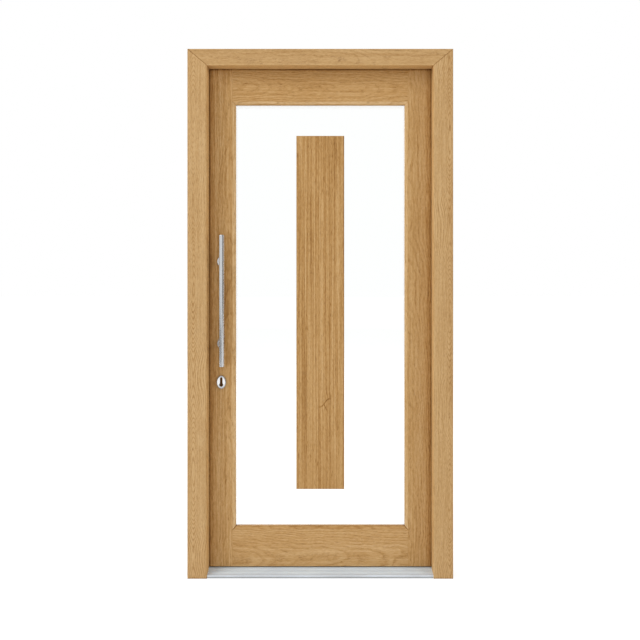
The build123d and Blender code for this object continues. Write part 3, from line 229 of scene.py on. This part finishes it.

# Painted light and shade on the frame: a band by the inner edge is painted paler as a painted highlight; a line
# before the lock jamb's reveal and the hinge jamb's outer edge are painted deeper as painted shade; and the
# reveals are painted paler and richer, standing in for their light and shade.
wear(oak("oak_lock_jamb", FRAME_OAK, False, (0.0, 0.0, 0.0), (-0.520, -0.050), (0.0, 0.0), paleness=0.44,
         zones=[FOOT_SHADE, ("X", -0.503, -0.490, 0.07), ("X", -0.4765, -0.4715, -0.30), (*LEFT_REVEAL, 0.60)],
         reveal=LEFT_REVEAL, **JAMB), "lock_jamb")
wear(oak("oak_hinge_jamb", FRAME_OAK, False, (0.03, 0.02, 4.6), (0.570, -0.030), (0.0, 0.0), paleness=0.42,
         zones=[FOOT_SHADE, ("X", 0.490, 0.476, 0.10), (*RIGHT_REVEAL, 0.45), ("X", 0.515, 0.550, -0.16)],
         reveal=RIGHT_REVEAL, **JAMB), "hinge_jamb")
wear(oak("oak_head", FRAME_OAK, True, (0.0, 0.05, 9.2), (-2.165, 0.020), (0.004, 0.014), 0.22, 0.40, 0.80,
         paleness=0.40, zones=[("Z", 2.132, 2.128, 0.14), (*UPPER_REVEAL, 0.36)], mitre=MITRE, dashes=0.08,
         reveal=UPPER_REVEAL), "frame_head")


# Leaf: two full-height stiles and two rails between them, one plank each, oiled a little deeper than the
# frame. The rails butt against the stiles. Painted tone makes the chamfer towards the glass paler, a painted
# highlight, and the strips beside the frame, under the head and behind the bar deeper, painted shade.
LEAF_OAK = ((0.170, 0.070, 0.014, 1), (0.362, 0.184, 0.051, 1), (0.494, 0.288, 0.107, 1),
            (0.577, 0.368, 0.168, 1), (0.68, 0.463, 0.24, 1))
# Painted shade under the head, back to plain tone where the head covers the leaf.
SHADE_UNDER_HEAD = [("Z", 2.098, 2.122, -0.12), ("Z", 2.1160, 2.1215, -0.60), ("Z", 2.1250, 2.1270, 0.50)]
# Painted shade round and behind the pull bar on the lock stile.
BAR_SHADE = (-0.402, 0.042, 0.877, 1.422, -0.28)

# Painted light and shade on the stiles: the chamfer towards the glass is painted paler as a painted highlight; the
# strip beside the frame and the line at its gap are painted deeper as painted shade, and paler again where the
# stop covers the edge; the lock stile is also painted paler towards the bottom.
wear(oak("oak_lock_stile", LEAF_OAK, False, (0.0, 0.3, 2.2), (-0.41, 0.28), (0.010, 0.024), streaks=0.9,
         paleness=0.46, behind=BAR_SHADE,
         zones=[("X", -0.3710, -0.3698, 0.42), ("X", -0.436, -0.468, -0.42), ("X", -0.4605, -0.4680, -0.48),
                ("X", -0.4700, -0.4720, 0.70), ("Z", 0.75, 0.30, 0.10)] + SHADE_UNDER_HEAD), "lock_stile")
wear(oak("oak_hinge_stile", LEAF_OAK, False, (0.2, 0.1, 7.4), (0.62, 0.14), (-0.008, 0.020),
         zones=[("X", 0.3690, 0.3662, 0.34), ("X", 0.436, 0.468, -0.45), ("X", 0.4630, 0.4665, -0.22),
                ("X", 0.4700, 0.4720, 0.45)] + SHADE_UNDER_HEAD), "hinge_stile")
# Painted light and shade on the rails: the top rail's chamfer is painted paler as a painted highlight, the bottom
# rail's chamfer deeper, and a line along the glass edge of each deeper, as painted shade.
wear(oak("oak_top_rail", LEAF_OAK, True, (0.4, 0.2, 1.7), (-1.66, 0.24), (0.010, 0.030), paleness=0.51,
         zones=[("Z", 1.9880, 1.9868, 0.50), ("Z", 1.9785, 1.9755, -0.45)] + SHADE_UNDER_HEAD,
         mitre=(1.0, 1.617, 0.0040, -0.45)), "top_rail")
wear(oak("oak_bottom_rail", LEAF_OAK, True, (0.1, 0.4, 5.3), (-0.02, 0.43), (0.012, 0.028), paleness=0.64,
         zones=[("Z", 0.1825, 0.1837, -0.20), ("Z", 0.1915, 0.1955, -0.24)],
         mitre=(-1.0, 0.5535, 0.0065, -1.0)), "bottom_rail")
wear(oak("oak_upright_beads", LEAF_OAK, False, (0.7, 0.1, 3.3), (0.5, 0.30), (0.004, 0.010)),
     "bead_left", "bead_right")
wear(oak("oak_lying_beads", LEAF_OAK, True, (0.3, 0.6, 8.1), (-0.5, 0.30), (0.004, 0.010)),
     "bead_top", "bead_bottom")


# Boards on the glass: one oak board outside and one inside, quarter-sawn with strong straight grain and
# a small knot low in the outer one, bonded to the panes with tape.
BOARD = {"figure": 0.34, "streaks": 1.25, "flecks": 0.75, "ring_gap": 0.0040, "paleness": 0.39,
         "waver": 0.005, "shortness": 0.8, "dashes": 0.40}

# Painted shade and highlight on the outer board: its right edge is painted deeper, its left edge paler.
wear(oak("oak_outer_board", LEAF_OAK, False, (0.9, 0.0, 6.0), (0.2, 0.02), (0.002, 0.004), knot=(0.019, 0.716),
         zones=[("X", 0.0955, 0.0985, -0.30), ("X", -0.088, -0.097, 0.12)], **BOARD), "outer_board")
wear(oak("oak_inner_board", LEAF_OAK, False, (0.5, 0.0, 2.0), (0.2, 0.02), (0.002, 0.004), **BOARD), "inner_board")


# Dowels: turned beech pegs, glued across the frame's mitres and the leaf's joints.
def plain_wood(name, pale, deep):
    finish = new_finish(name)
    place = add_node(finish, "ShaderNodeTexCoord", {}).outputs["Object"]
    fibre = grain_noise(finish, place, 420.0, 420.0, 3.0, 0.6, 1.0)
    colour = ramp(finish, fibre, [(0.3, deep), (0.7, pale)])
    shine = maths(finish, "MULTIPLY_ADD", fibre, 0.2, 0.5)
    surface(finish, {"Base Color": colour, "Roughness": shine, "Normal": rises(finish, fibre, 0.0001, 0.4)})
    return finish


wear(plain_wood("beech", (0.62, 0.42, 0.24, 1), (0.5, 0.31, 0.16, 1)), "frame_dowels", "leaf_dowels")


# Threshold: extruded, anodised aluminium profiles outside and inside, ribbed where feet tread,
# joined by a dark plastic core that stops the cold.
LINE_DEPTH = 0.00003
FIRST_RIB = 0.0585
RIB_GAP = 0.0109
TREAD_END = -0.004
DRIP_GROOVE = (0.0048, 0.0010)
GROOVE_SHADE_GREY = (0.30, 0.31, 0.32, 1)
NOSE_TINT = (1.02, 0.98, 0.945, 1)


def brushed_metal(name, base, dark, rough, across, along, metal=1.0, gloss=0.5):
    """Metal with fine lines left by brushing or drawing."""
    finish = new_finish(name)
    place = add_node(finish, "ShaderNodeTexCoord", {}).outputs["Object"]
    lines = grain_noise(finish, place, across, along, 4.0, 0.65, 4.0)
    cloud = grain_noise(finish, place, 14.0, 9.0, 2.0, 0.5, 6.0)
    tone = maths(finish, "MULTIPLY_ADD", cloud, 0.4, maths(finish, "MULTIPLY", lines, 0.6), clamp=True)
    colour = ramp(finish, tone, [(0.3, dark), (0.7, base)])
    shine = maths(finish, "MULTIPLY_ADD", lines, 0.16, rough - 0.08)
    surface(finish, {"Base Color": colour, "Metallic": metal, "Roughness": shine, "Specular IOR Level": gloss,
                     "Normal": rises(finish, lines, LINE_DEPTH, 0.6)})
    return finish


def ribbed_aluminium(name):
    """Pale anodised metal with drawing lines along it, with painted shade in its grooves, drip groove, nose and
    foot.
    """
    finish = new_finish(name)
    place = add_node(finish, "ShaderNodeTexCoord", {}).outputs["Object"]
    along = add_node(finish, "ShaderNodeMapping", {0: place, 2: (0, -math.pi / 2, 0)}).outputs[0]
    lines = grain_noise(finish, along, 900.0, 6.0, 4.0, 0.65, 4.0)
    cloud = grain_noise(finish, along, 30.0, 9.0, 2.0, 0.5, 6.0)
    spot = add_node(finish, "ShaderNodeSeparateXYZ", {0: place})
    # Painted shade in the grooves between the ribs and in the drip groove.
    inwards = maths(finish, "ADD", spot.outputs[1], FIRST_RIB)
    rib = maths(finish, "FRACT", maths(finish, "DIVIDE", inwards, RIB_GAP))
    tread = maths(finish, "LESS_THAN", spot.outputs[1], TREAD_END)
    groove = maths(finish, "MULTIPLY", fade(finish, rib, 0.34, 0.24), tread)
    drip = maths(finish, "COMPARE", spot.outputs[2], *DRIP_GROOVE)
    groove = maths(finish, "MAXIMUM", maths(finish, "MULTIPLY", groove, 0.7), drip)
    tone = maths(finish, "MULTIPLY_ADD", cloud, 0.4, maths(finish, "MULTIPLY", lines, 0.6), clamp=True)
    # Painted shade towards the nose and at the foot.
    tone = maths(finish, "SUBTRACT", tone, fade(finish, spot.outputs[1], -0.050, -0.060, 0.0, 0.31))
    tone = maths(finish, "SUBTRACT", tone, fade(finish, spot.outputs[2], 0.0060, 0.0020, 0.0, 0.22))
    metal = ramp(finish, tone, [(0.0, (0.46, 0.50, 0.53, 1)), (0.3, (0.69, 0.78, 0.88, 1)),
                                (0.6, (0.82, 0.93, 1.0, 1))])
    nose = fade(finish, spot.outputs[1], -0.046, -0.058)
    metal = mixed(finish, nose, metal, NOSE_TINT, "MULTIPLY")
    colour = mixed(finish, groove, metal, GROOVE_SHADE_GREY)
    shine = maths(finish, "MULTIPLY_ADD", lines, 0.16, 0.42)
    surface(finish, {"Base Color": colour, "Metallic": 0.1, "Roughness": shine,
                     "Normal": rises(finish, lines, LINE_DEPTH, 0.6)})
    return finish


wear(ribbed_aluminium("anodised_aluminium"), "threshold_outer", "threshold_inner")


# Plastic and rubber: the threshold's core and setting blocks are hard plastic, the seals are soft
# rubber, and the tape and edge sealant are black.
def moulded(name, base, worn, rough, grain):
    finish = new_finish(name)
    place = add_node(finish, "ShaderNodeTexCoord", {}).outputs["Object"]
    speck = grain_noise(finish, place, grain, grain, 3.0, 0.6, 2.0)
    colour = ramp(finish, speck, [(0.3, base), (0.75, worn)])
    shine = maths(finish, "MULTIPLY_ADD", speck, 0.2, rough - 0.1)
    surface(finish, {"Base Color": colour, "Roughness": shine, "Normal": rises(finish, speck, 0.0001, 0.4)})
    return finish


wear(moulded("core_plastic", (0.018, 0.018, 0.019, 1), (0.032, 0.032, 0.034, 1), 0.55, 700.0),
     "threshold_core", "setting_blocks")
wear(moulded("seal_rubber", (0.010, 0.009, 0.008, 1), (0.022, 0.020, 0.018, 1), 0.7, 900.0),
     "frame_seal", "glazing_seals", "edge_sealant", "board_tapes")
# The sweep is pale grey so that the gap under the leaf, which lies in shade, renders lighter: painted light.
wear(moulded("sweep_rubber", (0.78, 0.78, 0.79, 1), (0.86, 0.86, 0.87, 1), 0.7, 900.0), "bottom_seal")


# Glass unit: two clear float panes on a bright metal spacer.
def clear_glass(name):
    finish = new_finish(name)
    place = add_node(finish, "ShaderNodeTexCoord", {}).outputs["Object"]
    haze = grain_noise(finish, place, 3.0, 3.0, 2.0, 0.5, 1.0)
    shine = maths(finish, "MULTIPLY", fade(finish, haze, 0.45, 0.75), 0.012)
    pane = add_node(finish, "ShaderNodeBsdfPrincipled",
                    {"Base Color": (0.995, 1.0, 0.998, 1), "Roughness": shine, "IOR": 1.45,
                     "Transmission Weight": 1.0, "Normal": rises(finish, haze, 0.0001, 0.5)})
    clear = add_node(finish, "ShaderNodeBsdfTransparent", {0: (0.98, 0.99, 0.985, 1)})
    path = add_node(finish, "ShaderNodeLightPath", {})
    unseen = maths(finish, "MAXIMUM", path.outputs["Is Shadow Ray"], path.outputs["Is Diffuse Ray"])
    glass = add_node(finish, "ShaderNodeMixShader", {0: unseen, 1: pane.outputs[0], 2: clear.outputs[0]})
    add_node(finish, "ShaderNodeOutputMaterial", {0: glass.outputs[0]})
    return finish


wear(clear_glass("clear_glass"), "outer_pane", "inner_pane")
wear(brushed_metal("spacer_metal", (0.62, 0.63, 0.64, 1), (0.5, 0.51, 0.52, 1), 0.35, 600.0, 20.0),
     "pane_spacer")


# Pull bar and knob: outside, a solid stainless bar on two leaning posts with round feet, held by
# dome-headed bolts from inside; inside, an oval knob on its rose. All are satin-brushed.
wear(brushed_metal("satin_steel", (0.63, 0.64, 0.65, 1), (0.55, 0.56, 0.57, 1), 0.17, 260.0, 900.0),
     "pull_bar", "lower_pull_post", "upper_pull_post", "pull_bolts", "knob_rose", "oval_knob")


# Escutcheons: pressed oval stainless covers, polished on the face and satin on the bevel, with painted shade
# on the bevel and towards the lower edge, round a profile cylinder coloured dark brown as painted shade in the
# keyhole.
COVER_MIDDLE = (-0.417, 0.8042)
COVER_HALF = (0.020, 0.028)


def polished_cover(name):
    finish = new_finish(name)
    place = add_node(finish, "ShaderNodeTexCoord", {}).outputs["Object"]
    spot = add_node(finish, "ShaderNodeSeparateXYZ", {0: place})
    wide = maths(finish, "DIVIDE", maths(finish, "SUBTRACT", spot.outputs[0], COVER_MIDDLE[0]), COVER_HALF[0])
    high = maths(finish, "DIVIDE", maths(finish, "SUBTRACT", spot.outputs[2], COVER_MIDDLE[1]), COVER_HALF[1])
    edge = maths(finish, "SQRT", maths(finish, "ADD", maths(finish, "POWER", wide, 2.0),
                                       maths(finish, "POWER", high, 2.0)))
    # Painted shade: the bevel and the lower part of the cover are coloured darker grey in place of darker
    # reflections; the bevel is also rougher.
    bevel = fade(finish, edge, 0.78, 0.90)
    shade = maths(finish, "MAXIMUM", bevel, fade(finish, high, 0.0, -0.95, 0.0, 0.75))
    scuffs = grain_noise(finish, place, 500.0, 500.0, 3.0, 0.6, 3.0)
    tone = maths(finish, "MULTIPLY_ADD", scuffs, 0.1, shade)
    colour = ramp(finish, tone, [(0.0, (0.93, 0.93, 0.93, 1)), (1.0, (0.38, 0.39, 0.41, 1))])
    shine = maths(finish, "MULTIPLY_ADD", bevel, 0.2, maths(finish, "MULTIPLY_ADD", scuffs, 0.06, 0.09))
    surface(finish, {"Base Color": colour, "Metallic": 1.0, "Roughness": shine,
                     "Normal": rises(finish, scuffs, 0.00001, 0.5)})
    return finish


wear(polished_cover("polished_steel"), "outer_escutcheon", "inner_escutcheon")
# Painted shade: the cylinder is coloured near-black brown and not metallic, so that the keyhole reads as a dark
# hole.
wear(brushed_metal("cylinder_shade_brown", (0.100, 0.043, 0.008, 1), (0.060, 0.023, 0.003, 1), 0.6, 700.0, 700.0,
                   metal=0.0, gloss=0.12), "cylinder_body", "key_plug")


# Lock, strikes and hinges: satin steel, with bright screws.
wear(brushed_metal("lock_steel", (0.58, 0.58, 0.585, 1), (0.46, 0.46, 0.465, 1), 0.34, 700.0, 12.0),
     "main_strike", "upper_strike", "lower_strike", "lock_faceplate", "main_lock_case", "upper_bolt_case",
     "lower_bolt_case", "latch_bolt", "dead_bolt", "upper_bolt", "lower_bolt", "latch_follower", "hinge_pins")
wear(brushed_metal("hinge_steel", (0.62, 0.62, 0.625, 1), (0.5, 0.5, 0.505, 1), 0.30, 700.0, 14.0),
     *[f"{height}_hinge_{side}_wing" for height in ("bottom", "middle", "top") for side in ("frame", "leaf")])
wear(brushed_metal("screw_steel", (0.60, 0.60, 0.60, 1), (0.42, 0.42, 0.42, 1), 0.28, 900.0, 900.0),
     "strike_screws", "faceplate_screws", "hinge_frame_screws", "hinge_leaf_screws")


# Studio: a white floor that keeps the door's shadow, white all round, soft light from the upper left,
# three dark cards that only metal reflects, and a camera square on to the frame below eye height.
EYE = (-0.0012, -3.064, 1.281)
LENS = 40.8
SHIFT = -0.0797
ROOM_LIGHT = 0.74
KEY_POWER = 230.0
FILL_POWER = 92.0
BACK_POWER = 150.0
FLOOR_GREY = (0.9, 0.9, 0.9, 1)
SEEN_FLOOR_GREY = (0.35, 0.35, 0.35, 1)
FLOOR_GLOW = 0.76
CARD_GREY = (0.20, 0.19, 0.18, 1)

bpy.ops.object.select_all(action="DESELECT")
bpy.ops.mesh.primitive_plane_add(size=60.0, location=(0, 0, -0.0005))
floor = bpy.context.object
floor.name = "floor"
white_floor = new_finish("white_floor")
path = add_node(white_floor, "ShaderNodeLightPath", {})
seen = maths(white_floor, "MAXIMUM", path.outputs["Is Camera Ray"],
             maths(white_floor, "MAXIMUM", path.outputs["Is Glossy Ray"], path.outputs["Is Transmission Ray"]))
grey = mixed(white_floor, seen, FLOOR_GREY, SEEN_FLOOR_GREY)
diffuse = add_node(white_floor, "ShaderNodeBsdfDiffuse", {0: grey})
brightness = maths(white_floor, "MULTIPLY", seen, FLOOR_GLOW)
glow = add_node(white_floor, "ShaderNodeEmission", {0: (1, 1, 1, 1), 1: brightness})
both = add_node(white_floor, "ShaderNodeAddShader", {0: diffuse.outputs[0], 1: glow.outputs[0]})
add_node(white_floor, "ShaderNodeOutputMaterial", {0: both.outputs[0]})
floor.data.materials.append(white_floor)

world = bpy.data.worlds.new("studio")
world.use_nodes = True
world.node_tree.nodes.clear()
path = add_node(world, "ShaderNodeLightPath", {})
seen = maths(world, "MAXIMUM", path.outputs["Is Camera Ray"],
             maths(world, "MAXIMUM", path.outputs["Is Glossy Ray"], path.outputs["Is Transmission Ray"]))
strength = maths(world, "MULTIPLY_ADD", seen, 1.0 - ROOM_LIGHT, ROOM_LIGHT)
sky = add_node(world, "ShaderNodeBackground", {0: (1, 1, 1, 1), 1: strength})
add_node(world, "ShaderNodeOutputWorld", {0: sky.outputs[0]})
bpy.context.scene.world = world


def softbox(name, place, target, size, power):
    lamp = bpy.data.lights.new(name, "AREA")
    lamp.shape = "SQUARE"
    lamp.size = size
    lamp.energy = power
    holder = bpy.data.objects.new(name, lamp)
    bpy.context.collection.objects.link(holder)
    holder.location = place
    aim = [t - p for t, p in zip(target, place)]
    flat = math.hypot(aim[0], aim[1])
    holder.rotation_euler = (math.pi / 2 + math.atan2(aim[2], flat), 0, math.atan2(-aim[0], aim[1]))


softbox("key_light", (-5.3, -3.1, 5.4), (0, 0, 1.1), 3.5, KEY_POWER)
softbox("fill_light", (5.6, -3.2, 3.4), (0, 0, 1.1), 3.0, FILL_POWER)
softbox("back_light", (-2.4, 5.6, 4.2), (0, 0, 1.1), 3.0, BACK_POWER)


def card(name, place, turn, wide, high):
    """A dark card that only shows in metal, as it would beside a camera."""
    bpy.ops.object.select_all(action="DESELECT")
    bpy.ops.mesh.primitive_plane_add(size=1.0, location=place, rotation=(math.pi / 2, 0, turn))
    bpy.context.object.scale = (wide, high, 1)
    bpy.ops.object.transform_apply(location=True, rotation=True, scale=True)
    sheet = bpy.context.object
    sheet.name = name
    sheet.data.materials.append(dark_card)
    for ray in ("camera", "diffuse", "transmission", "shadow", "volume_scatter"):
        setattr(sheet, f"visible_{ray}", False)


dark_card = new_finish("dark_card")
card_glow = add_node(dark_card, "ShaderNodeEmission", {0: CARD_GREY})
add_node(dark_card, "ShaderNodeOutputMaterial", {0: card_glow.outputs[0]})
card("right_card", (3.25, -1.40, 2.07), math.radians(70), 4.2, 2.65)
card("left_card", (-3.8, -2.2, 0.54), math.radians(-57), 5.0, 0.42)
card("front_card", (-0.7, -3.9, 0.52), 0.0, 3.0, 0.38)

camera_data = bpy.data.cameras.new("camera")
camera_data.lens = LENS
camera_data.sensor_width = 36.0
camera_data.shift_y = SHIFT
camera = bpy.data.objects.new("camera", camera_data)
bpy.context.collection.objects.link(camera)
camera.location = EYE
camera.rotation_euler = (math.pi / 2, 0, 0)
bpy.context.scene.camera = camera
bpy.context.scene.view_settings.view_transform = "Standard"
